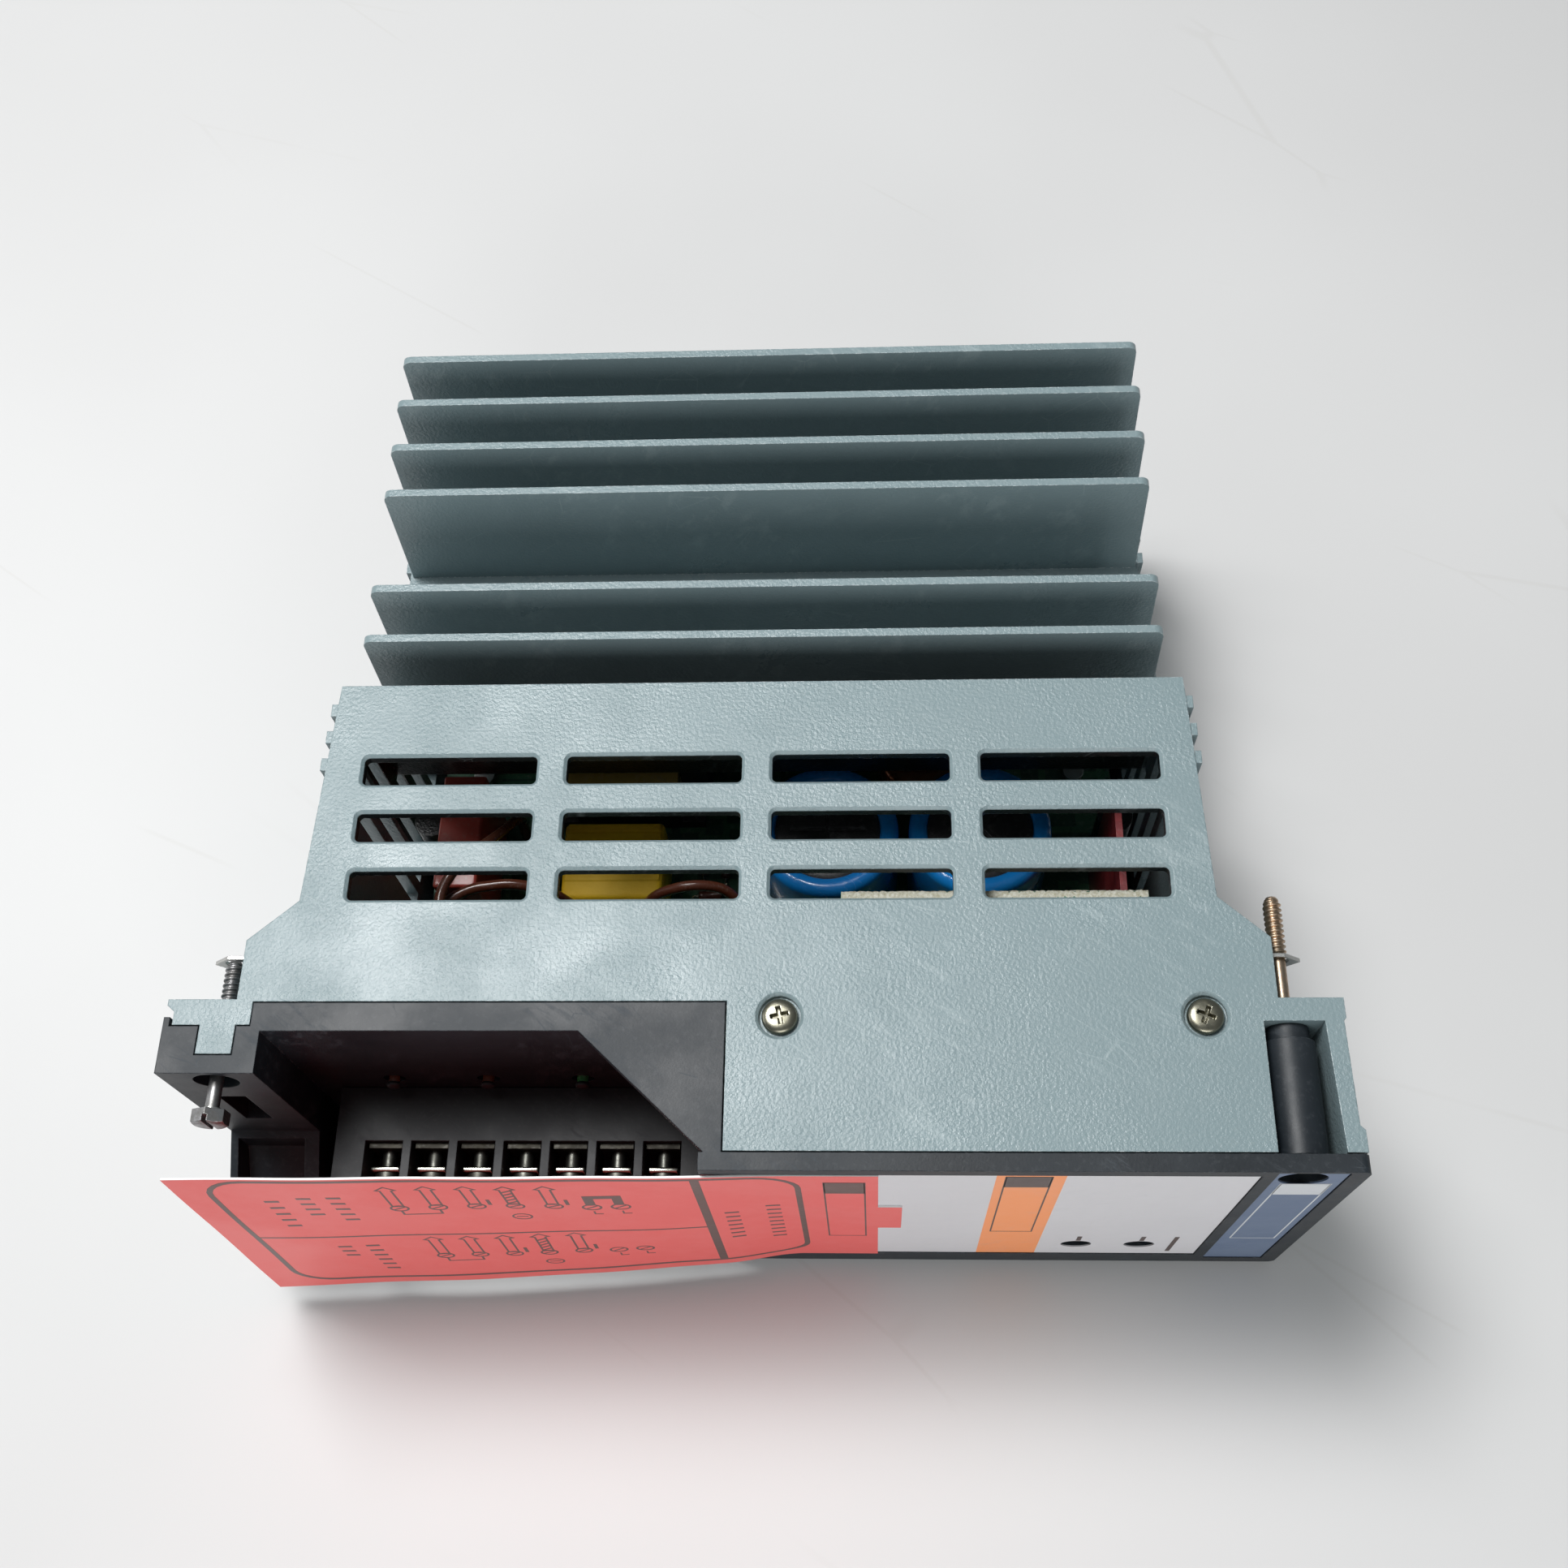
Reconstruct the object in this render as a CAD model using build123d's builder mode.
"""Rack power-supply module: finned die-cast casing, black front moulding, screw terminals.

The module lies on its side cover. Millimetres, +Z up.
Origin: on the rest face, under the middle of the flanges' seating plane.
+X runs towards the module's upper end, +Y towards its rear fins, -Y towards its front.
"""
from build123d import *
import math
import os

os.makedirs("parts", exist_ok=True)

# ---------------------------------------------------------------- driving dimensions
THICKNESS = 96.0            # side cover to opposite side, as the module lies
FLANGE_LENGTH = 250.0       # end to end over both mounting flanges
DEPTH_BEHIND = 175.0        # seating plane to the last fin's back face
DEPTH_FRONT = 36.6          # seating plane to the bezel's front face
WALL = 3.0
COVER_T = 1.5
GAP = 0.3                   # fitting gap between neighbouring castings and mouldings

TOP = THICKNESS
FLANGE_HALF = FLANGE_LENGTH / 2
FRONT = -DEPTH_FRONT

# casing outline, half widths about the body's own centre line
BODY_X = 0.75
SHOULDER_HALF = 110.75
NECK_HALF = 100.3
BOX_HALF = 97.75
TAIL_HALF = 96.0
SHOULDER_Y = 13.5
NECK_Y = 22.8
BOX_REAR_Y = 77.0
CASTING_FRONT = -32.5
SIDE_PLATE_X = -4.0         # left edge of the casting's plate that reaches the bezel
FLANGE_T = 5.7

# cooling
FIN_T = 2.0
FIN_PITCH = 14.0
FIN_COUNT = 7
FIN_MISSING = 2             # this place in the row carries no fin
FIN_LAST_Y = DEPTH_BEHIND - FIN_T / 2
FIN_HALF_TOP = 94.6
SINK_FLOOR_Z = 59.0
SINK_FLOOR_T = 4.0
BAR_PITCH = 7.05
BAR_T = 3.1
BAR_FIRST_Y = 55.2
BAR_COUNT = 17
BAR_PROUD = 1.5
BAR_FOOT_Z = 21.0

# ventilation slots
SLOT_L = 40.06
SLOT_W = 6.97
SLOT_PITCH_X = 46.96
SLOT_PITCH_Y = 14.15
SLOT_FIRST_X = -89.31
SLOT_FIRST_Y = 23.04
SLOT_R = 1.2

# captive mounting screws, M4
SCREW_X = 113.9
SCREW_Z = TOP - 6.0
SCREW_TRAVEL = 14.0
SCREW_R = 2.0
SCREW_WAIST_R = 1.5
SCREW_L = 34.0
SCREW_THREAD_L = 14.0
SCREW_HEAD_T = 3.0
SCREW_HEAD_AF = 7.0
SCREW_SEAT_Y = -9.0         # under the head when the screw is pushed home
SCREW_HOLE_R = 2.3
HEAD_BORE_R = 4.9

# case screws, M4 pan head
CASE_SCREW_X = (7.2, 96.3)
CASE_SCREW_Y = -3.8
CASE_HEAD_R = 3.9
CASE_HEAD_T = 2.2
CASE_RECESS_R = 4.5
CASE_RECESS_D = 1.6

# terminal bay
BAY_LEFT = -104.0
BAY_REAR = -7.1
BAY_RIGHT = -9.0
BAY_FLOOR_T = 3.0
BLOCK_END = -125.3
BLOCK_FRONT = -16.4
BLOCK_FOOT_Z = 48.0

# terminals
TERMINALS = 7
TERMINAL_PITCH = 10.84
TERMINAL_FIRST_WALL = -92.2
TERMINAL_WALL_T = 2.0
DECK_Z = 53.0
CELL_FLOOR_Z = 40.0
CELL_REAR_Y = -19.9
TERMINAL_FRONT_Y = -30.0
TERMINAL_AXIS_Z = 46.4
TERMINAL_SHANK_R = 1.7
SHANK_HOLE_R = TERMINAL_SHANK_R + 0.06
TERMINAL_HEAD_R = 3.0
TERMINAL_HEAD_T = 2.3
TAG_T = 1.2
CLAMP_T = 1.2
CLAMP_SIZE = 7.0

# front graphics and the card flap
CARD_T = 0.5
FOIL_T = 0.35
FOIL_RECESS = 0.6
PANEL_LOW = 8.7
PANEL_HIGH = 92.3
PANEL_RIGHT = 105.3
CREASE_X = 10.0
CARD_TAIL_RIGHT = 27.7
CARD_TAB_RIGHT = 33.0
CARD_LOW = 9.0
CARD_HIGH = 92.2
CARD_FREE_X = -121.6

# boards
BOARD_T = 1.6
BOARD_TOP = 20.0
LED_X = (75.3, 90.35)
LED_Z = 20.0


# ---------------------------------------------------------------- helpers
def block(x0, x1, y0, y1, z0, z1, mode=Mode.ADD):
    """Box between two corners, in the open part."""
    with Locations(((x0 + x1) / 2, (y0 + y1) / 2, (z0 + z1) / 2)):
        Box(abs(x1 - x0), abs(y1 - y0), abs(z1 - z0), mode=mode)


def rod_y(x, z, y0, y1, radius, mode=Mode.ADD):
    """Cylinder along Y from y0 to y1, in the open part."""
    with Locations(Location((x, (y0 + y1) / 2, z), (90, 0, 0))):
        Cylinder(radius, abs(y1 - y0), mode=mode)


def rod_z(x, y, z0, z1, radius, mode=Mode.ADD):
    """Cylinder along Z from z0 to z1, in the open part."""
    with Locations((x, y, (z0 + z1) / 2)):
        Cylinder(radius, abs(z1 - z0), mode=mode)


def prism_z(points, z0, z1, mode=Mode.ADD):
    """Prism with an outline in XY, in the open part."""
    with BuildSketch(Plane.XY.offset(z0)) as outline:
        Polygon(*points, align=None)
    extrude(outline.sketch, amount=z1 - z0, mode=mode)


def prism_x(points, x0, x1, mode=Mode.ADD):
    """Prism with an outline in YZ, in the open part."""
    with BuildSketch(Plane.YZ.offset(x0)) as outline:
        Polygon(*points, align=None)
    extrude(outline.sketch, amount=x1 - x0, mode=mode)


def keep(builder, node):
    """Label a finished piece and write it to its own file."""
    builder.part.label = node
    export_step(builder.part, f"parts/{node}.step")


def wall_half(y):
    """Half width of the casing's end walls at a depth behind the neck."""
    if y <= BOX_REAR_Y:
        return NECK_HALF + (BOX_HALF - NECK_HALF) * (y - NECK_Y) / (BOX_REAR_Y - NECK_Y)
    return BOX_HALF + (TAIL_HALF - BOX_HALF) * (y - BOX_REAR_Y) / (DEPTH_BEHIND - BOX_REAR_Y)


# ---------------------------------------------------------------- casing
POCKET_LEFT = 108.0
POCKET_RIGHT = 121.8
POCKET_REAR = -5.0
NUB_T = 1.0
CAVITY_TOP = TOP - WALL
SINK_UNDER = SINK_FLOOR_Z - SINK_FLOOR_T
TRANSISTOR_X = (-62.0, -38.0, -14.0, 30.0, 54.0)
TRANSISTOR_Y = 118.0
TRANSISTOR_HOLE_Y = 8.0
CONNECTOR_HALF = 46.0
CONNECTOR_Z = (19.4, 33.0)
COVER_SCREW_PLACES = (
    (-88.0, 68.0),
    (89.5, 68.0),
    (-88.0, 165.0),
    (89.5, 165.0),
    (-100.0, 6.0),
    (102.0, 6.0),
)
COVER_BOSS_R = 4.5
slot_centres = [
    (
        SLOT_FIRST_X + SLOT_L / 2 + column * SLOT_PITCH_X,
        SLOT_FIRST_Y + SLOT_W / 2 + row * SLOT_PITCH_Y,
    )
    for column in range(4)
    for row in range(3)
]
fin_places = [
    FIN_LAST_Y - FIN_PITCH * (FIN_COUNT - 1 - index)
    for index in range(FIN_COUNT)
    if index != FIN_MISSING
]

with BuildPart() as casing:
    # outer body, flanges and the plate that runs forward to the bezel
    prism_z(
        [
            (-FLANGE_HALF, 0),
            (BODY_X - SHOULDER_HALF, 0),
            (BODY_X - SHOULDER_HALF, SHOULDER_Y),
            (BODY_X - NECK_HALF, NECK_Y),
            (BODY_X - BOX_HALF, BOX_REAR_Y),
            (BODY_X + BOX_HALF, BOX_REAR_Y),
            (BODY_X + NECK_HALF, NECK_Y),
            (BODY_X + SHOULDER_HALF, SHOULDER_Y),
            (BODY_X + SHOULDER_HALF, 0),
            (FLANGE_HALF, 0),
            (FLANGE_HALF, -4.4),
            (FLANGE_HALF - 0.5, -5.0),
            (FLANGE_HALF - 0.1, -27.0),
            (FLANGE_HALF + 0.9, -28.0),
            (FLANGE_HALF + 0.9, CASTING_FRONT),
            (SIDE_PLATE_X, CASTING_FRONT),
            (SIDE_PLATE_X, -0.5),
            (-106.4, -0.5),
            (-106.4, -FLANGE_T),
            (-FLANGE_HALF + 1.7, -FLANGE_T),
            (-FLANGE_HALF + 1.7, -2.8),
            (-FLANGE_HALF, -1.4),
        ],
        COVER_T,
        TOP,
    )
    # heat-sink box under the fins
    prism_z(
        [
            (BODY_X - BOX_HALF, BOX_REAR_Y - 5),
            (BODY_X + BOX_HALF, BOX_REAR_Y - 5),
            (BODY_X + TAIL_HALF, DEPTH_BEHIND),
            (BODY_X - TAIL_HALF, DEPTH_BEHIND),
        ],
        COVER_T,
        SINK_FLOOR_Z,
    )
    # main cavity, open to the front and to the side cover
    prism_z(
        [
            (-106.0, -FLANGE_T - 1),
            (-106.0, SHOULDER_Y - 1.3),
            (BODY_X - NECK_HALF + WALL, NECK_Y - 1.3),
            (BODY_X - BOX_HALF + WALL, BOX_REAR_Y - WALL),
            (BODY_X + BOX_HALF - WALL, BOX_REAR_Y - WALL),
            (BODY_X + NECK_HALF - WALL, NECK_Y - 1.3),
            (BODY_X + SHOULDER_HALF - WALL, SHOULDER_Y - 1.3),
            (BODY_X + SHOULDER_HALF - WALL, 0),
            (POCKET_LEFT - WALL, 0),
            (POCKET_LEFT - WALL, CASTING_FRONT - 1),
            (SIDE_PLATE_X - 1, CASTING_FRONT - 1),
            (SIDE_PLATE_X - 1, -FLANGE_T - 1),
        ],
        COVER_T - 1,
        CAVITY_TOP,
        mode=Mode.SUBTRACT,
    )
    # rear cavity under the fins
    prism_z(
        [
            (BODY_X - BOX_HALF + WALL, BOX_REAR_Y - 6),
            (BODY_X + BOX_HALF - WALL, BOX_REAR_Y - 6),
            (BODY_X + TAIL_HALF - WALL, DEPTH_BEHIND - WALL),
            (BODY_X - TAIL_HALF + WALL, DEPTH_BEHIND - WALL),
        ],
        COVER_T - 1,
        SINK_UNDER,
        mode=Mode.SUBTRACT,
    )
    # pocket of the upper mounting screw, open on top and in front
    prism_z(
        [
            (POCKET_LEFT, POCKET_REAR),
            (POCKET_RIGHT - 1.2, POCKET_REAR),
            (POCKET_RIGHT, CASTING_FRONT - 1),
            (POCKET_LEFT, CASTING_FRONT - 1),
        ],
        COVER_T - 1,
        TOP + 1,
        mode=Mode.SUBTRACT,
    )
    # tongue over the lower mounting screw
    block(-117.2, -109.5, -12.1, -FLANGE_T, TOP - NUB_T, TOP)
    # fins
    for fin_y in fin_places:
        with BuildSketch(Plane.XZ.offset(-fin_y)) as fin_outline:
            Polygon(
                (BODY_X - TAIL_HALF, SINK_FLOOR_Z - 1),
                (BODY_X + TAIL_HALF, SINK_FLOOR_Z - 1),
                (BODY_X + FIN_HALF_TOP, TOP),
                (BODY_X - FIN_HALF_TOP, TOP),
                align=None,
            )
            fillet(fin_outline.vertices().group_by(Axis.Y)[-1], 2.2)
        extrude(amount=FIN_T / 2, both=True)
    # grille bars on both ends, proud of the wall
    for index in range(BAR_COUNT):
        bar_y = BAR_FIRST_Y + index * BAR_PITCH
        half = wall_half(bar_y)
        bar_top = TOP - 0.5 if bar_y + BAR_T < BOX_REAR_Y else SINK_FLOOR_Z - 0.5
        for side in (-1, 1):
            block(
                BODY_X + side * (half - WALL + 0.5),
                BODY_X + side * (half + BAR_PROUD),
                bar_y,
                bar_y + BAR_T,
                BAR_FOOT_Z,
                bar_top,
            )
    # grille gaps through both end walls
    for index in range(BAR_COUNT):
        gap_end = BAR_FIRST_Y + index * BAR_PITCH
        gap_start = gap_end - (BAR_PITCH - BAR_T)
        gap_top = CAVITY_TOP if gap_end < BOX_REAR_Y - 1 else SINK_UNDER
        half = wall_half(gap_start)
        for side in (-1, 1):
            block(
                BODY_X + side * (half - 2 * WALL),
                BODY_X + side * (half + 2 * WALL),
                gap_start,
                gap_end,
                BAR_FOOT_Z,
                gap_top,
                mode=Mode.SUBTRACT,
            )
    # ventilation slots
    with BuildSketch(Plane.XY.offset(TOP)):
        with Locations(*slot_centres):
            RectangleRounded(SLOT_L, SLOT_W, SLOT_R)
    extrude(amount=-WALL, mode=Mode.SUBTRACT)
    # case screw recesses and holes
    for hole_x in CASE_SCREW_X:
        rod_z(hole_x, CASE_SCREW_Y, TOP - CASE_RECESS_D, TOP + 1, CASE_RECESS_R, mode=Mode.SUBTRACT)
        rod_z(hole_x, CASE_SCREW_Y, CAVITY_TOP - 1, TOP, 2.2, mode=Mode.SUBTRACT)
    # mounting screw holes through both flanges
    for side in (-1, 1):
        rod_y(side * SCREW_X, SCREW_Z, -FLANGE_T - 1, 1, SCREW_HOLE_R, mode=Mode.SUBTRACT)
    # blind holes for the power transistors' screws
    for place_x in TRANSISTOR_X:
        rod_z(
            place_x,
            TRANSISTOR_Y + TRANSISTOR_HOLE_Y,
            SINK_UNDER - 0.5,
            SINK_FLOOR_Z - 0.8,
            1.5,
            mode=Mode.SUBTRACT,
        )
    # window for the backplane connector
    block(
        -CONNECTOR_HALF,
        CONNECTOR_HALF,
        DEPTH_BEHIND - 2 * WALL,
        DEPTH_BEHIND + 1,
        CONNECTOR_Z[0],
        CONNECTOR_Z[1],
        mode=Mode.SUBTRACT,
    )
    # feet for the side cover's screws, in the four inner corners
    for foot_x, foot_y in COVER_SCREW_PLACES:
        foot_top = SINK_UNDER + 1 if foot_y > BOX_REAR_Y else 40.0
        rod_z(foot_x, foot_y, COVER_T, foot_top, COVER_BOSS_R)
        rod_z(foot_x, foot_y, COVER_T - 1, COVER_T + 10, 1.3, mode=Mode.SUBTRACT)
    # ribs that tie the four front feet to their walls
    for side in (-1, 1):
        block(BODY_X + side * 92.0, BODY_X + side * 97.0, 66.5, 69.5, BAR_FOOT_Z - 12, BAR_FOOT_Z)
        block(BODY_X + side * 92.0, BODY_X + side * 94.0, 163.5, 166.5, BAR_FOOT_Z - 12, BAR_FOOT_Z)
        block(BODY_X + side * 101.0, BODY_X + side * 108.5, 4.5, 7.5, BAR_FOOT_Z - 12, 40.0)
    # softened edges of the side face and its slots
    rim = casing.faces().filter_by(Axis.Z).group_by(Axis.Z)[-1].sort_by(SortBy.AREA)[-1]
    slot_rims = [wire for wire in rim.inner_wires() if wire.length > 4 * SLOT_W]
    chamfer([edge for wire in slot_rims for edge in wire.edges()], 0.7)
keep(casing, "casing")

# ---------------------------------------------------------------- side cover
with BuildPart() as side_cover:
    prism_z(
        [
            (-106.0, -3.6),
            (-106.0, SHOULDER_Y - 0.5),
            (BODY_X - NECK_HALF + 1, NECK_Y),
            (BODY_X - BOX_HALF + 1, BOX_REAR_Y),
            (BODY_X - TAIL_HALF + 1, DEPTH_BEHIND - 1),
            (BODY_X + TAIL_HALF - 1, DEPTH_BEHIND - 1),
            (BODY_X + BOX_HALF - 1, BOX_REAR_Y),
            (BODY_X + NECK_HALF - 1, NECK_Y),
            (BODY_X + SHOULDER_HALF - 1, SHOULDER_Y - 0.5),
            (BODY_X + SHOULDER_HALF - 1, -FLANGE_T),
            (POCKET_LEFT - 1, -FLANGE_T),
            (POCKET_LEFT - 1, CASTING_FRONT),
            (SIDE_PLATE_X, CASTING_FRONT),
            (SIDE_PLATE_X, -3.6),
        ],
        0,
        COVER_T,
    )
    with BuildSketch(Plane.XY) as vents:
        with Locations(*slot_centres):
            RectangleRounded(SLOT_L, SLOT_W, SLOT_R)
    extrude(vents.sketch, amount=COVER_T, mode=Mode.SUBTRACT)
    for foot_x, foot_y in COVER_SCREW_PLACES:
        with Locations(Location((foot_x, foot_y, 0), (180, 0, 0))):
            CounterSinkHole(radius=1.6, counter_sink_radius=2.9, depth=COVER_T)
keep(side_cover, "side_cover")

with BuildPart() as side_cover_screws:
    for foot_x, foot_y in COVER_SCREW_PLACES:
        rod_z(foot_x, foot_y, 0.15, 9.0, 1.25)
        with Locations((foot_x, foot_y, 0.15 + 0.6)):
            Cone(2.7, 1.5, 1.2)
keep(side_cover_screws, "side_cover_screws")

# ---------------------------------------------------------------- front moulding
FRONT_PLATE_REAR = CASTING_FRONT - 0.3
FRONT_RIGHT = FLANGE_HALF + 1.3
PLATE_R = 2.0
CHANNEL_LEFT = -123.5
CHANNEL_RIGHT = -107.5
PLATE_NAME = (108.0, 122.4, 4.6, 95.0)
ACCESS_HOLE_R = 5.0
BOSS_R = 3.6

with BuildPart() as front_moulding:
    # front plate with rounded ends
    with BuildSketch(Plane.XZ.offset(-FRONT_PLATE_REAR)) as plate_outline:
        with Locations(((BAY_RIGHT + FRONT_RIGHT) / 2, TOP / 2)):
            Rectangle(FRONT_RIGHT - BAY_RIGHT, TOP)
        fillet(plate_outline.vertices().group_by(Axis.X)[-1], PLATE_R)
    extrude(amount=FRONT_PLATE_REAR - FRONT)
    # plate on the open side: strip behind the bay, web beside it with its slanted edge
    prism_z(
        [
            (BAY_LEFT - 2.2, -0.8),
            (BAY_LEFT - 2.2, BAY_REAR),
            (-35.45, BAY_REAR),
            (-8.0, FRONT_PLATE_REAR),
            (SIDE_PLATE_X - GAP, FRONT_PLATE_REAR),
            (SIDE_PLATE_X - GAP, -0.8),
        ],
        TOP - WALL,
        TOP,
    )
    # bay walls and floor
    block(BAY_LEFT, BAY_RIGHT + 2.5, BAY_REAR, BAY_REAR + WALL, 0, TOP - WALL)
    block(BAY_RIGHT, BAY_RIGHT + 2.5, FRONT_PLATE_REAR, BAY_REAR, 0, TOP - WALL)
    block(BAY_LEFT, BAY_RIGHT, FRONT, BAY_REAR, 0, BAY_FLOOR_T)
    # end block around the lower mounting screw
    block(BLOCK_END, BAY_LEFT, BLOCK_FRONT, -FLANGE_T - GAP, BLOCK_FOOT_Z, TOP)
    block(BLOCK_END, BLOCK_END + 1.3, -FLANGE_T - GAP, -4.0, BLOCK_FOOT_Z, TOP)
    # cable channel under the block
    prism_x(
        [
            (-FLANGE_T - GAP, 0),
            (-FLANGE_T - GAP, BLOCK_FOOT_Z),
            (BLOCK_FRONT, BLOCK_FOOT_Z),
            (FRONT, BLOCK_FOOT_Z - 8.0),
            (FRONT, 0),
        ],
        BLOCK_END,
        BAY_LEFT,
    )
    prism_x(
        [
            (BLOCK_FRONT - 1.6, BLOCK_FOOT_Z + 2),
            (BLOCK_FRONT - 1.6, BLOCK_FOOT_Z - 8.0),
            (FRONT - 2, BLOCK_FOOT_Z - 20.0),
            (FRONT - 2, BLOCK_FOOT_Z + 2),
        ],
        CHANNEL_LEFT,
        CHANNEL_RIGHT,
        mode=Mode.SUBTRACT,
    )
    # core out the block's underside, open towards the rest face
    block(CHANNEL_LEFT, CHANNEL_RIGHT, FRONT + 3, -FLANGE_T - 3, -1, 22.0, mode=Mode.SUBTRACT)
    # recess for the tongue, bore for the screw's head, neck hole
    block(-117.5, -109.2, -12.4, 0, TOP - NUB_T - 0.1, TOP + 1, mode=Mode.SUBTRACT)
    rod_y(-SCREW_X, SCREW_Z, BLOCK_FRONT - 1, SCREW_SEAT_Y, HEAD_BORE_R, mode=Mode.SUBTRACT)
    rod_y(-SCREW_X, SCREW_Z, BLOCK_FRONT, 0, SCREW_HOLE_R, mode=Mode.SUBTRACT)
    # rectangular key hole in the block's face
    block(-117.7, -111.6, BLOCK_FRONT - 1, BLOCK_FRONT + 7, 59.4, 78.1, mode=Mode.SUBTRACT)
    # bosses for the case screws, on webs from the front plate
    for boss_x in CASE_SCREW_X:
        rod_z(boss_x, CASE_SCREW_Y, 76.0, CAVITY_TOP - 0.2, BOSS_R)
        block(boss_x - 1.2, boss_x + 1.2, FRONT_PLATE_REAR, CASE_SCREW_Y, 80.0, CAVITY_TOP - 0.6)
        rod_z(boss_x, CASE_SCREW_Y, 79.0, TOP, 1.7, mode=Mode.SUBTRACT)
    # recesses for the printed foil and the name plate
    block(
        BAY_RIGHT - 1,
        PANEL_RIGHT,
        FRONT - 1,
        FRONT + FOIL_RECESS,
        PANEL_LOW,
        PANEL_HIGH,
        mode=Mode.SUBTRACT,
    )
    block(
        PLATE_NAME[0],
        PLATE_NAME[1],
        FRONT - 1,
        FRONT + FOIL_RECESS,
        PLATE_NAME[2],
        PLATE_NAME[3],
        mode=Mode.SUBTRACT,
    )
    # access to the upper mounting screw, holes for the two status lamps
    rod_y(SCREW_X, SCREW_Z - 0.6, FRONT - 1, 0, ACCESS_HOLE_R, mode=Mode.SUBTRACT)
    for lamp_x in LED_X:
        rod_y(lamp_x, LED_Z, FRONT - 1, FRONT_PLATE_REAR + 1, 3.65, mode=Mode.SUBTRACT)
    # wire holes through the bay's rear wall
    for hole_x in (-84.0, -62.0, -40.0):
        rod_y(hole_x, 60.0, BAY_REAR - 1, BAY_REAR + WALL + 1, 2.6, mode=Mode.SUBTRACT)
keep(front_moulding, "front_moulding")

with BuildPart() as case_screws:
    for screw_x in CASE_SCREW_X:
        seat_z = TOP - CASE_RECESS_D
        rod_z(screw_x, CASE_SCREW_Y, 80.0, seat_z, 1.65)
        rod_z(screw_x, CASE_SCREW_Y, seat_z, seat_z + CASE_HEAD_T, CASE_HEAD_R)
    fillet(case_screws.edges().filter_by(GeomType.CIRCLE).group_by(Axis.Z)[-1], 1.2)
keep(case_screws, "case_screws")

with BuildPart() as screw_guide_sleeve:
    rod_y(SCREW_X, SCREW_Z, FRONT_PLATE_REAR + 0.2, -8.3, 5.5)
    rod_y(SCREW_X, SCREW_Z, -8.3, POCKET_REAR - 0.1, 4.5)
    rod_y(SCREW_X, SCREW_Z, FRONT_PLATE_REAR - 1, SCREW_SEAT_Y, 4.6, mode=Mode.SUBTRACT)
    rod_y(SCREW_X, SCREW_Z, SCREW_SEAT_Y - 1, 0, SCREW_HOLE_R, mode=Mode.SUBTRACT)
keep(screw_guide_sleeve, "screw_guide_sleeve")

# ---------------------------------------------------------------- front graphics
FOIL_FACE = FRONT + FOIL_RECESS - FOIL_T
with BuildPart() as front_foil:
    block(
        BAY_RIGHT + 0.2,
        PANEL_RIGHT - 0.2,
        FOIL_FACE,
        FOIL_FACE + FOIL_T,
        PANEL_LOW + 0.2,
        PANEL_HIGH - 0.2,
    )
    for lamp_x in LED_X:
        rod_y(lamp_x, LED_Z, FRONT - 1, FRONT + 1, 3.65, mode=Mode.SUBTRACT)
keep(front_foil, "front_foil")

with BuildPart() as name_plate:
    block(
        PLATE_NAME[0] + 0.2,
        PLATE_NAME[1] - 0.2,
        FOIL_FACE,
        FOIL_FACE + FOIL_T,
        PLATE_NAME[2] + 0.2,
        PLATE_NAME[3] - 0.2,
    )
    rod_y(SCREW_X, SCREW_Z - 0.6, FRONT - 1, FRONT + 1, ACCESS_HOLE_R, mode=Mode.SUBTRACT)
keep(name_plate, "name_plate")

with BuildPart() as warning_card_tail:
    block(CREASE_X + 0.2, CARD_TAIL_RIGHT, FOIL_FACE - CARD_T, FOIL_FACE, CARD_LOW, CARD_HIGH)
    block(CARD_TAIL_RIGHT, CARD_TAB_RIGHT, FOIL_FACE - CARD_T, FOIL_FACE, 40.7, 62.6)
keep(warning_card_tail, "warning_card_tail")

# the free part of the card: flat at its upper edge, sprung outwards at its lower edge
CARD_Y = FOIL_FACE - CARD_T / 2
CARD_TOP_LIFT = 1.3
CARD_LOW_LIFT = 9.1


def card_edge(lift, height):
    """Bowed edge of the free card at one height, from the crease to the free end."""
    return [
        (CREASE_X - 0.2, CARD_Y, height),
        (-9.0, CARD_Y - 0.28 * lift, height),
        (-30.0, CARD_Y - 0.47 * lift, height),
        (-70.0, CARD_Y - 0.73 * lift, height),
        (CARD_FREE_X, CARD_Y - lift, height),
    ]


with BuildPart() as warning_flap:
    with BuildLine(Plane.XY) as upper_edge:
        Spline(*card_edge(CARD_TOP_LIFT, CARD_HIGH))
    with BuildLine(Plane.XY) as lower_edge:
        Spline(*card_edge(CARD_LOW_LIFT, CARD_LOW))
    middle = Face.make_surface_from_curves(lower_edge.edge(), upper_edge.edge())
    thicken(middle, amount=CARD_T / 2, both=True)
keep(warning_flap, "warning_flap")


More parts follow.
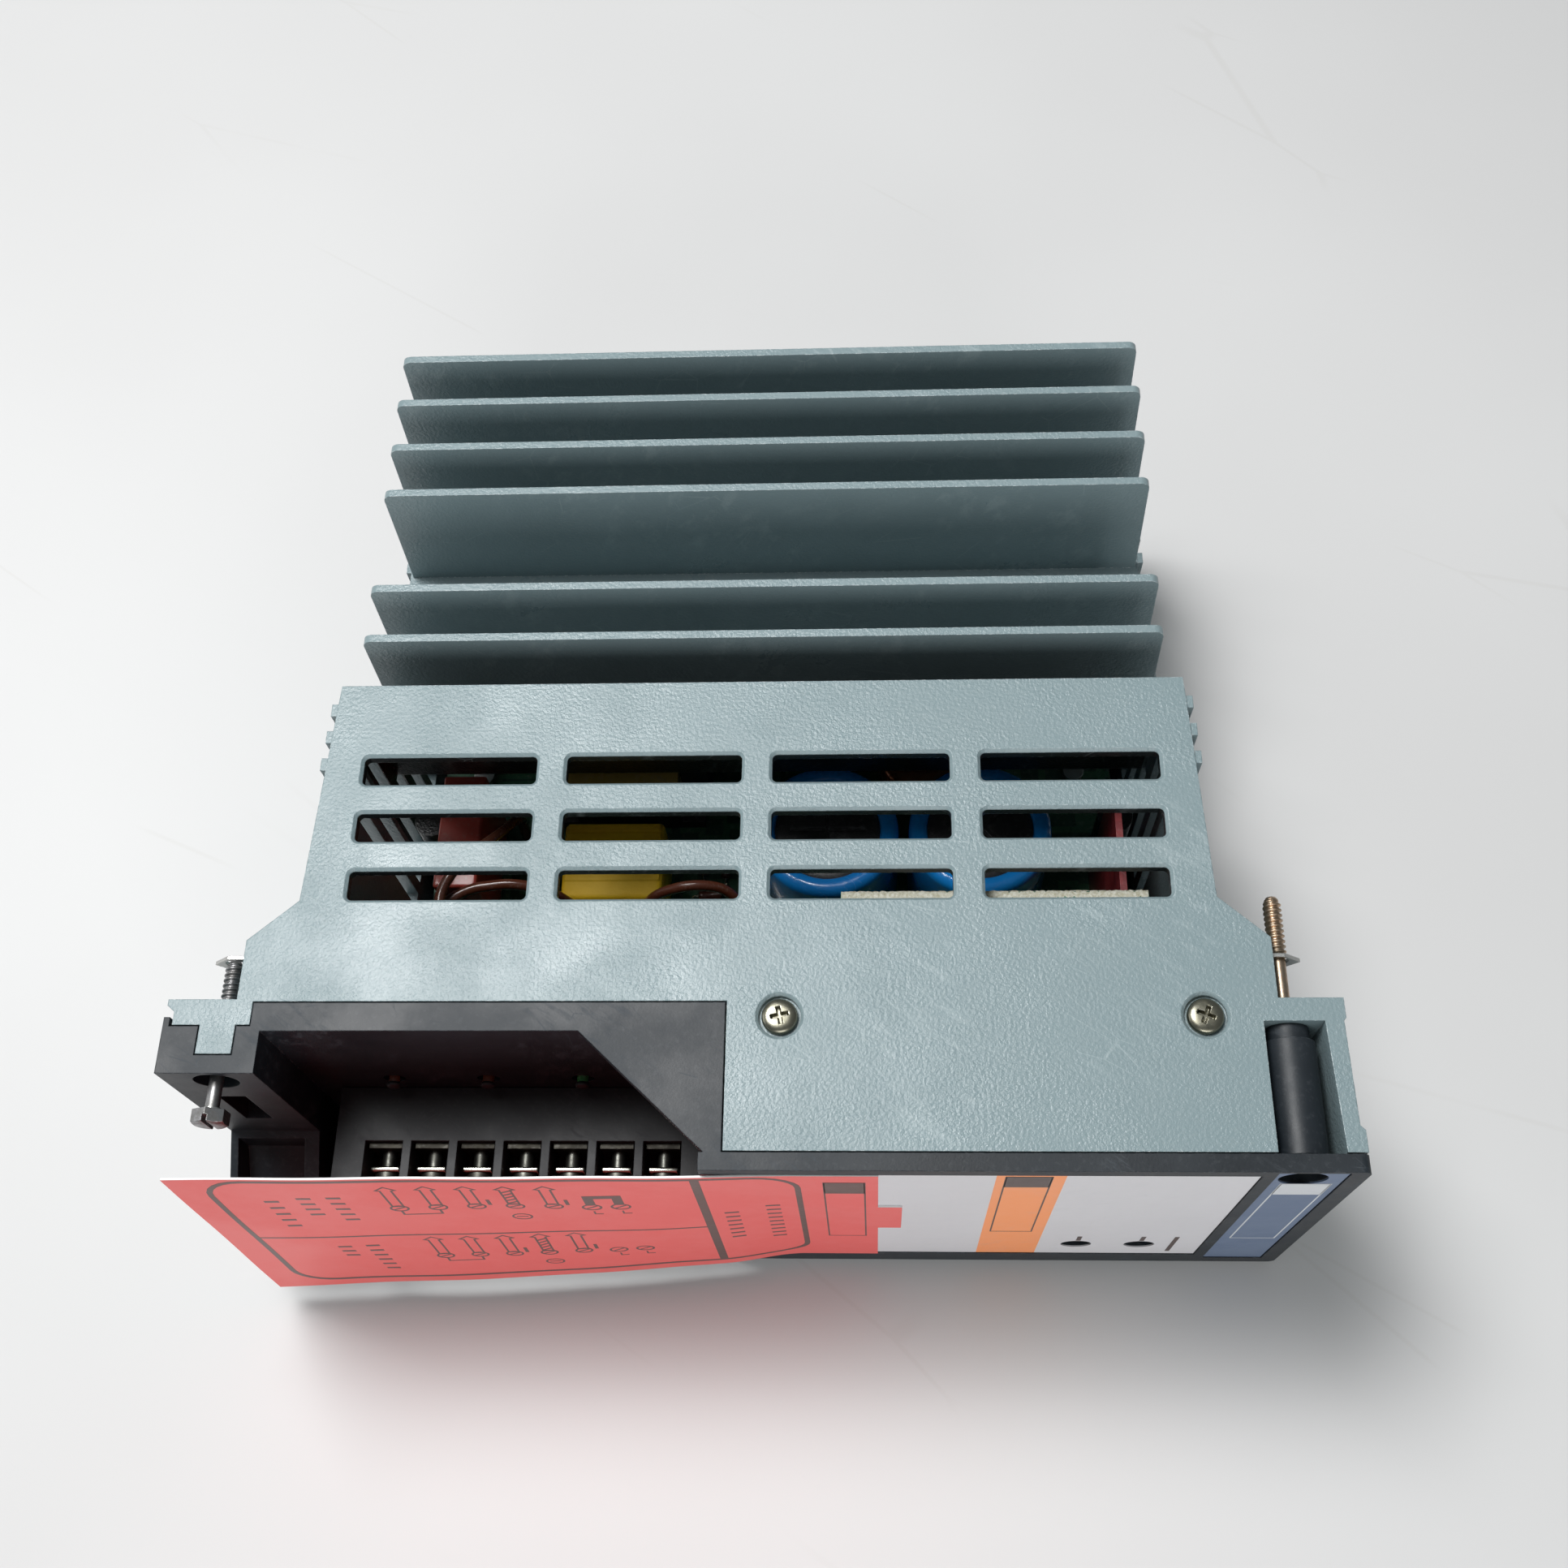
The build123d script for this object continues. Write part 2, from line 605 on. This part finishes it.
# ---------------------------------------------------------------- mounting screws
def mounting_screw(x, seat_y):
    """Captive screw: slotted hexagon head, plain waist, threaded end; in the open part."""
    tip_y = seat_y + SCREW_L
    with BuildSketch(Plane.XZ.offset(-seat_y)) as head:
        with Locations((x, SCREW_Z)):
            RegularPolygon(SCREW_HEAD_AF / 2, 6, major_radius=False)
    extrude(head.sketch, amount=SCREW_HEAD_T)
    head_edges = faces().filter_by(Axis.Y).sort_by(Axis.Y)[0].edges()
    chamfer(head_edges, 0.35)
    rod_y(x, SCREW_Z, seat_y, tip_y - SCREW_THREAD_L, SCREW_WAIST_R)
    rod_y(x, SCREW_Z, tip_y - SCREW_THREAD_L, tip_y, SCREW_R)
    tip = faces().filter_by(Axis.Y).sort_by(Axis.Y)[-1].edges()
    chamfer(tip, 0.8)
    block(
        x - 0.55,
        x + 0.55,
        seat_y - SCREW_HEAD_T - 1,
        seat_y - SCREW_HEAD_T + 1.5,
        SCREW_Z - 5,
        SCREW_Z + 5,
        mode=Mode.SUBTRACT,
    )


with BuildPart() as mounting_screw_top:
    mounting_screw(SCREW_X, SCREW_SEAT_Y)
keep(mounting_screw_top, "mounting_screw_top")

with BuildPart() as mounting_screw_bottom:
    mounting_screw(-SCREW_X, SCREW_SEAT_Y - SCREW_TRAVEL)
keep(mounting_screw_bottom, "mounting_screw_bottom")

for end, collar_x, collar_y in (
    ("top", SCREW_X, SCREW_SEAT_Y),
    ("bottom", -SCREW_X, SCREW_SEAT_Y - SCREW_TRAVEL),
):
    with BuildPart() as screw_collar:
        rod_y(collar_x, SCREW_Z, collar_y + 0.05, collar_y + 0.6, 2.1)
        rod_y(collar_x, SCREW_Z, collar_y - 1, collar_y + 1, SCREW_WAIST_R + 0.06, mode=Mode.SUBTRACT)
    keep(screw_collar, f"screw_collar_{end}")

CLIP_T = 0.8
CLIP_Y = 10.2
for end, side in (("top", 1), ("bottom", -1)):
    wall_x = BODY_X + side * (SHOULDER_HALF + 0.05)
    with BuildPart() as screw_clip:
        with BuildSketch(Plane.XZ.offset(-CLIP_Y - CLIP_T)) as clip_outline:
            Polygon(
                (wall_x, SCREW_Z - 9.0),
                (wall_x, SCREW_Z + 2.9),
                (side * (SCREW_X + 0.9), SCREW_Z + 2.9),
                (side * (SCREW_X + 4.8), SCREW_Z - 0.6),
                (side * (SCREW_X + 0.9), SCREW_Z - 5.4),
                align=None,
            )
            with Locations((side * SCREW_X, SCREW_Z)):
                Circle(SCREW_R + 0.15, mode=Mode.SUBTRACT)
        extrude(amount=CLIP_T)
        block(wall_x, wall_x + side * CLIP_T, 2.0, CLIP_Y + CLIP_T, SCREW_Z - 16.0, SCREW_Z - 6.0)
    keep(screw_clip, f"screw_clip_{end}")

# ---------------------------------------------------------------- terminals
BLOCK_LEFT = -98.3
BLOCK_RIGHT = -11.4
terminal_x = [
    TERMINAL_FIRST_WALL + TERMINAL_PITCH * (index + 0.5)
    for index in range(TERMINALS)
]
cell_w = TERMINAL_PITCH - TERMINAL_WALL_T
TAG_REAR_Y = CELL_REAR_Y - 0.1
CLAMP_GAP = 3.9
CLAMP_REAR_Y = TAG_REAR_Y - TAG_T - CLAMP_GAP
SHANK_END_Y = -17.5
HEAD_REAR_Y = CLAMP_REAR_Y - CLAMP_T

with BuildPart() as terminal_block:
    block(BLOCK_LEFT, BLOCK_RIGHT, TERMINAL_FRONT_Y, BAY_REAR - 0.2, BAY_FLOOR_T + 0.1, DECK_Z)
    for x in terminal_x:
        block(
            x - cell_w / 2,
            x + cell_w / 2,
            TERMINAL_FRONT_Y - 1,
            CELL_REAR_Y,
            CELL_FLOOR_Z,
            DECK_Z + 1,
            mode=Mode.SUBTRACT,
        )
        rod_y(x, TERMINAL_AXIS_Z, CELL_REAR_Y - 1, -13.0, TERMINAL_SHANK_R + 0.3, mode=Mode.SUBTRACT)
        block(
            x - cell_w / 2,
            x + cell_w / 2,
            TERMINAL_FRONT_Y - 1,
            TERMINAL_FRONT_Y + 0.8,
            22.0,
            CELL_FLOOR_Z - 3,
            mode=Mode.SUBTRACT,
        )
    # hollow underside
    block(BLOCK_LEFT + 3, BLOCK_RIGHT - 3, TERMINAL_FRONT_Y + 3, BAY_REAR - 3, 0, 36.0, mode=Mode.SUBTRACT)
keep(terminal_block, "terminal_block")

with BuildPart() as terminal_tags:
    for x in terminal_x:
        block(x - 3.9, x + 3.9, TAG_REAR_Y - TAG_T, TAG_REAR_Y, CELL_FLOOR_Z + 0.1, DECK_Z - 2.0)
        rod_y(x, TERMINAL_AXIS_Z, TAG_REAR_Y - 2, TAG_REAR_Y + 1, SHANK_HOLE_R, mode=Mode.SUBTRACT)
keep(terminal_tags, "terminal_tags")

for number, x in enumerate(terminal_x, start=1):
    with BuildPart() as terminal_clamp:
        half = CLAMP_SIZE / 2
        block(x - half, x + half, HEAD_REAR_Y, CLAMP_REAR_Y, TERMINAL_AXIS_Z - half, TERMINAL_AXIS_Z + half)
        rod_y(x, TERMINAL_AXIS_Z, HEAD_REAR_Y - 1, CLAMP_REAR_Y + 1, SHANK_HOLE_R, mode=Mode.SUBTRACT)
    keep(terminal_clamp, f"terminal_clamp_{number}")
    with BuildPart() as terminal_screw:
        rod_y(x, TERMINAL_AXIS_Z, HEAD_REAR_Y - TERMINAL_HEAD_T, HEAD_REAR_Y - 0.02, TERMINAL_HEAD_R)
        chamfer(terminal_screw.edges().filter_by(GeomType.CIRCLE).group_by(Axis.Y)[0], 0.4)
        rod_y(x, TERMINAL_AXIS_Z, HEAD_REAR_Y - 0.5, SHANK_END_Y, TERMINAL_SHANK_R)
        block(
            x - 4,
            x + 4,
            HEAD_REAR_Y - TERMINAL_HEAD_T - 1,
            HEAD_REAR_Y - TERMINAL_HEAD_T + 1.2,
            TERMINAL_AXIS_Z - 0.4,
            TERMINAL_AXIS_Z + 0.4,
            mode=Mode.SUBTRACT,
        )
    keep(terminal_screw, f"terminal_screw_{number}")

# ---------------------------------------------------------------- boards
BOARD_UNDER = BOARD_TOP - BOARD_T
pillar_places = [(x, y) for y in (12.0, 90.0, 156.0) for x in (-80.0, 82.0)]

with BuildPart() as main_board:
    block(-91.0, 92.0, 2.0, 165.5, BOARD_UNDER, BOARD_TOP)
    for foot_x, foot_y in COVER_SCREW_PLACES:
        rod_z(foot_x, foot_y, 0, 30, 5.2, mode=Mode.SUBTRACT)
    for x, y in pillar_places:
        rod_z(x, y, 0, 30, 1.6, mode=Mode.SUBTRACT)
keep(main_board, "main_board")

with BuildPart() as board_pillars:
    for x, y in pillar_places:
        rod_z(x, y, COVER_T, BOARD_UNDER, 3.5)
        rod_z(x, y, BOARD_UNDER - 10, BOARD_UNDER + 1, 1.5, mode=Mode.SUBTRACT)
keep(board_pillars, "board_pillars")

with BuildPart() as board_screws:
    for x, y in pillar_places:
        rod_z(x, y, BOARD_UNDER - 8, BOARD_TOP + 0.5, 1.4)
        rod_z(x, y, BOARD_TOP, BOARD_TOP + 2.0, 2.8)
keep(board_screws, "board_screws")

CONTROL_Y = 25.9
with BuildPart() as control_board:
    block(20.0, 88.0, CONTROL_Y, CONTROL_Y + BOARD_T, BOARD_TOP, 88.0)
keep(control_board, "control_board")

with BuildPart() as control_chips:
    for chip_x in (30.0, 48.0, 66.0):
        for chip_z in (40.0, 62.0):
            block(chip_x, chip_x + 6.4, CONTROL_Y - 3.4, CONTROL_Y - 0.05, chip_z, chip_z + 16.0)
keep(control_chips, "control_chips")

with BuildPart() as output_board:
    block(84.4, 86.0, 30.0, 62.0, BOARD_TOP, 72.0)
keep(output_board, "output_board")

# ---------------------------------------------------------------- power components
CAN_R = 17.2
SLEEVE_R = 17.8
CAN_TOP = 53.6
can_places = [(16.0, 58.6), (54.0, 58.6)]
with BuildPart() as reservoir_capacitors:
    for x, y in can_places:
        rod_z(x, y, BOARD_TOP + 0.1, CAN_TOP, CAN_R)
keep(reservoir_capacitors, "reservoir_capacitors")

with BuildPart() as capacitor_sleeves:
    for x, y in can_places:
        rod_z(x, y, BOARD_TOP + 0.6, CAN_TOP + 0.4, SLEEVE_R)
        rod_z(x, y, BOARD_TOP - 1, CAN_TOP + 0.05, CAN_R + 0.05, mode=Mode.SUBTRACT)
        rod_z(x, y, CAN_TOP - 1, CAN_TOP + 1, CAN_R - 4.0, mode=Mode.SUBTRACT)
keep(capacitor_sleeves, "capacitor_sleeves")

with BuildPart() as film_capacitor:
    block(-52.6, -26.2, 44.8, 66.6, BOARD_TOP + 0.1, 42.0)
    fillet(film_capacitor.edges().filter_by(Axis.X), 4.0)
keep(film_capacitor, "film_capacitor")

with BuildPart() as suppression_capacitor:
    block(-83.2, -72.2, 45.0, 76.0, BOARD_TOP + 0.1, 50.0)
    fillet(suppression_capacitor.edges().filter_by(Axis.Z), 0.8)
keep(suppression_capacitor, "suppression_capacitor")

CORE_LEFT = -60.0
CORE_FRONT = 80.0
with BuildPart() as transformer_core:
    block(CORE_LEFT, CORE_LEFT + 44, CORE_FRONT, CORE_FRONT + 16, 24.0, 50.0)
    for window_x in (CORE_LEFT + 7, CORE_LEFT + 28):
        block(window_x, window_x + 9, CORE_FRONT - 1, CORE_FRONT + 17, 29.0, 45.0, mode=Mode.SUBTRACT)
keep(transformer_core, "transformer_core")

with BuildPart() as transformer_winding:
    block(CORE_LEFT + 7.2, CORE_LEFT + 36.8, CORE_FRONT - 5.5, CORE_FRONT + 21.5, 29.2, 44.8)
    limb = (CORE_LEFT + 15.8, CORE_LEFT + 28.2)
    block(*limb, CORE_FRONT - 0.2, CORE_FRONT + 16.2, 29, 45, mode=Mode.SUBTRACT)
keep(transformer_winding, "transformer_winding")

with BuildPart() as transformer_bobbin:
    block(CORE_LEFT + 2, CORE_LEFT + 42, CORE_FRONT - 5.5, CORE_FRONT + 21.5, BOARD_TOP + 0.1, 23.9)
    for leg_y in (CORE_FRONT - 5.5, CORE_FRONT + 16.3):
        block(CORE_LEFT + 8, CORE_LEFT + 36, leg_y, leg_y + 5.2, 23.9, 29.1)
keep(transformer_bobbin, "transformer_bobbin")

with BuildPart() as output_choke:
    rod_z(42.0, 90.0, BOARD_TOP + 0.1, 34.0, 13.0)
    rod_z(42.0, 90.0, BOARD_TOP - 1, 36.0, 4.5, mode=Mode.SUBTRACT)
    fillet(output_choke.edges().filter_by(GeomType.CIRCLE), 2.5)
keep(output_choke, "output_choke")

with BuildPart() as output_capacitors:
    for x in (8.0, 26.0, 44.0, 62.0):
        rod_z(x, 142.0, BOARD_TOP + 0.1, 45.0, 8.0)
keep(output_capacitors, "output_capacitors")

INSULATOR_T = 0.3
with BuildPart() as transistor_insulators:
    for x in TRANSISTOR_X:
        block(
            x - 9,
            x + 9,
            TRANSISTOR_Y - 11,
            TRANSISTOR_Y + 12,
            SINK_UNDER - INSULATOR_T,
            SINK_UNDER,
        )
        rod_z(x, TRANSISTOR_Y + TRANSISTOR_HOLE_Y, 50, 60, 1.6, mode=Mode.SUBTRACT)
keep(transistor_insulators, "transistor_insulators")

TRANSISTOR_T = 4.8
transistor_under = SINK_UNDER - INSULATOR_T - TRANSISTOR_T
with BuildPart() as power_transistors:
    pin_high = transistor_under + 2.1
    for x in TRANSISTOR_X:
        block(
            x - 7.8,
            x + 7.8,
            TRANSISTOR_Y - 10,
            TRANSISTOR_Y + 11,
            transistor_under,
            SINK_UNDER - INSULATOR_T,
        )
        rod_z(x, TRANSISTOR_Y + TRANSISTOR_HOLE_Y, 40, 60, 1.6, mode=Mode.SUBTRACT)
        for pin in (-1, 0, 1):
            pin_x = x + pin * 5.45
            left, right = pin_x - 0.5, pin_x + 0.5
            block(left, right, TRANSISTOR_Y - 13, TRANSISTOR_Y - 10, pin_high - 0.6, pin_high)
            block(left, right, TRANSISTOR_Y - 13.6, TRANSISTOR_Y - 13, BOARD_TOP, pin_high)
keep(power_transistors, "power_transistors")

with BuildPart() as transistor_screws:
    for x in TRANSISTOR_X:
        screw_y = TRANSISTOR_Y + TRANSISTOR_HOLE_Y
        rod_z(x, screw_y, transistor_under - 0.5, SINK_UNDER + 2.8, 1.4)
        rod_z(x, screw_y, transistor_under - 2.2, transistor_under, 2.8)
keep(transistor_screws, "transistor_screws")

with BuildPart() as bridge_rectifier:
    block(-88.0, -66.0, 112.0, 132.0, BOARD_TOP + 2.0, BOARD_TOP + 8.0)
    for x in (-85.0, -80.0, -75.0, -70.0):
        block(x - 0.5, x + 0.5, 113.0, 114.0, BOARD_TOP, BOARD_TOP + 2.5)
keep(bridge_rectifier, "bridge_rectifier")

FUSE_Y = 14.0
FUSE_Z = BOARD_TOP + 6.0
FUSE_X = (-58.0, -38.0)
with BuildPart() as mains_fuse:
    with Locations(Location(((FUSE_X[0] + FUSE_X[1]) / 2, FUSE_Y, FUSE_Z), (0, 90, 0))):
        Cylinder(2.6, FUSE_X[1] - FUSE_X[0])
keep(mains_fuse, "mains_fuse")

with BuildPart() as fuse_clips:
    for x in (FUSE_X[0] + 2.6, FUSE_X[1] - 2.6):
        block(x - 2.2, x + 2.2, FUSE_Y - 3.6, FUSE_Y + 3.6, BOARD_TOP, FUSE_Z + 2.0)
        block(x - 3, x + 3, FUSE_Y - 2.7, FUSE_Y + 2.7, BOARD_TOP + 2.5, FUSE_Z + 3.0, mode=Mode.SUBTRACT)
keep(fuse_clips, "fuse_clips")

# ---------------------------------------------------------------- status lamps
LAMP_BOARD_Y = -26.0
with BuildPart() as lamp_board:
    block(66.0, 100.0, LAMP_BOARD_Y, LAMP_BOARD_Y + BOARD_T, 8.0, 32.0)
    # arms that reach back to the main board
    for arm_x in (70.0, 94.0):
        block(arm_x, arm_x + 4, LAMP_BOARD_Y + BOARD_T, 2.0, 10.0, 11.6)
keep(lamp_board, "lamp_board")

with BuildPart() as status_lamps:
    for lamp_x in LED_X:
        rod_y(lamp_x, LED_Z, -33.6, LAMP_BOARD_Y - 0.05, 2.5)
        rod_y(lamp_x, LED_Z, LAMP_BOARD_Y - 1.2, LAMP_BOARD_Y - 0.05, 2.9)
    fillet(status_lamps.edges().filter_by(GeomType.CIRCLE).group_by(Axis.Y)[0], 2.2)
keep(status_lamps, "status_lamps")

# ---------------------------------------------------------------- backplane connector
with BuildPart() as backplane_connector:
    shell_half = CONNECTOR_HALF - 1
    shell_top = CONNECTOR_Z[1] - 0.4
    block(-shell_half, shell_half, 163.0, DEPTH_BEHIND, BOARD_TOP + 0.1, shell_top)
    block(
        -shell_half + 3,
        shell_half - 3,
        168.0,
        DEPTH_BEHIND + 1,
        BOARD_TOP + 2.5,
        shell_top - 2.4,
        mode=Mode.SUBTRACT,
    )
keep(backplane_connector, "backplane_connector")

PIN_COLUMNS = 15
with BuildPart() as connector_pins:
    for column in range(PIN_COLUMNS):
        for pin_z in (BOARD_TOP + 4.0, BOARD_TOP + 8.0):
            pin_x = (column - (PIN_COLUMNS - 1) / 2) * 5.08
            block(pin_x - 0.4, pin_x + 0.4, 168.0, 174.0, pin_z - 0.4, pin_z + 0.4)
keep(connector_pins, "connector_pins")

# ---------------------------------------------------------------- internal wires
WIRE_R = 1.3


def wire_radii(route):
    """Largest arcs that the runs of a route allow, one for each corner."""
    points = [Vector(*point) for point in route]
    radii = []
    for before, corner, after in zip(points, points[1:], points[2:]):
        run = min((corner - before).length, (after - corner).length)
        turn = (corner - before).get_angle(after - corner)
        radii.append(0.45 * run / math.tan(math.radians(turn / 2)))
    return radii


def wire(route, radius):
    """Round wire of straight runs joined by tangent arcs, in the open part."""
    with BuildLine() as path:
        FilletPolyline(*route, radius=wire_radii(route))
    start = path.wires()[0]
    with BuildSketch(Plane(origin=start @ 0, z_dir=start % 0)) as section:
        Circle(radius)
    sweep(section.sketch, path=start)


wire_routes = {
    "line_wire": [
        (-84.0, -8.5, 60.0),
        (-84.0, 6.0, 60.0),
        (-84.3, 20.0, 59.0),
        (-82.0, 33.0, 57.5),
        (-73.5, 41.5, 57.0),
        (-61.0, 43.0, 57.2),
        (-52.0, 41.6, 55.0),
        (-46.5, 41.2, 44.0),
        (-39.0, 41.4, 37.5),
        (-31.0, 41.3, 44.0),
        (-25.5, 41.5, 54.0),
        (-17.0, 42.2, 57.6),
        (-8.5, 42.5, 54.5),
        (-3.0, 37.5, 46.0),
        (-1.0, 31.0, 36.0),
        (-1.0, 29.0, 28.5),
        (-1.0, 29.0, 20.1),
    ],
    "neutral_wire": [
        (-62.0, -8.5, 60.0),
        (-62.0, 3.0, 60.0),
        (-66.0, 15.0, 59.0),
        (-74.0, 26.0, 59.5),
        (-79.0, 37.0, 61.0),
        (-74.0, 46.5, 62.0),
        (-66.5, 54.0, 59.5),
        (-63.5, 62.0, 52.0),
        (-64.0, 68.0, 42.0),
        (-66.0, 71.0, 31.0),
        (-66.5, 71.5, 20.1),
    ],
    "earth_wire": [
        (-40.0, -8.5, 60.0),
        (-40.0, 2.0, 60.0),
        (-36.0, 8.0, 52.0),
        (-30.0, 12.0, 40.0),
        (-28.0, 13.0, 30.0),
        (-28.0, 13.0, 20.1),
    ],
}
for node, route in wire_routes.items():
    with BuildPart() as lead:
        wire(route, WIRE_R)
    keep(lead, node)
    with BuildLine() as check_path:
        FilletPolyline(*route, radius=wire_radii(route))
    expected = check_path.wires()[0].length * math.pi * WIRE_R**2
    print(node, [round(r, 1) for r in wire_radii(route)], round(lead.part.volume / expected, 3))
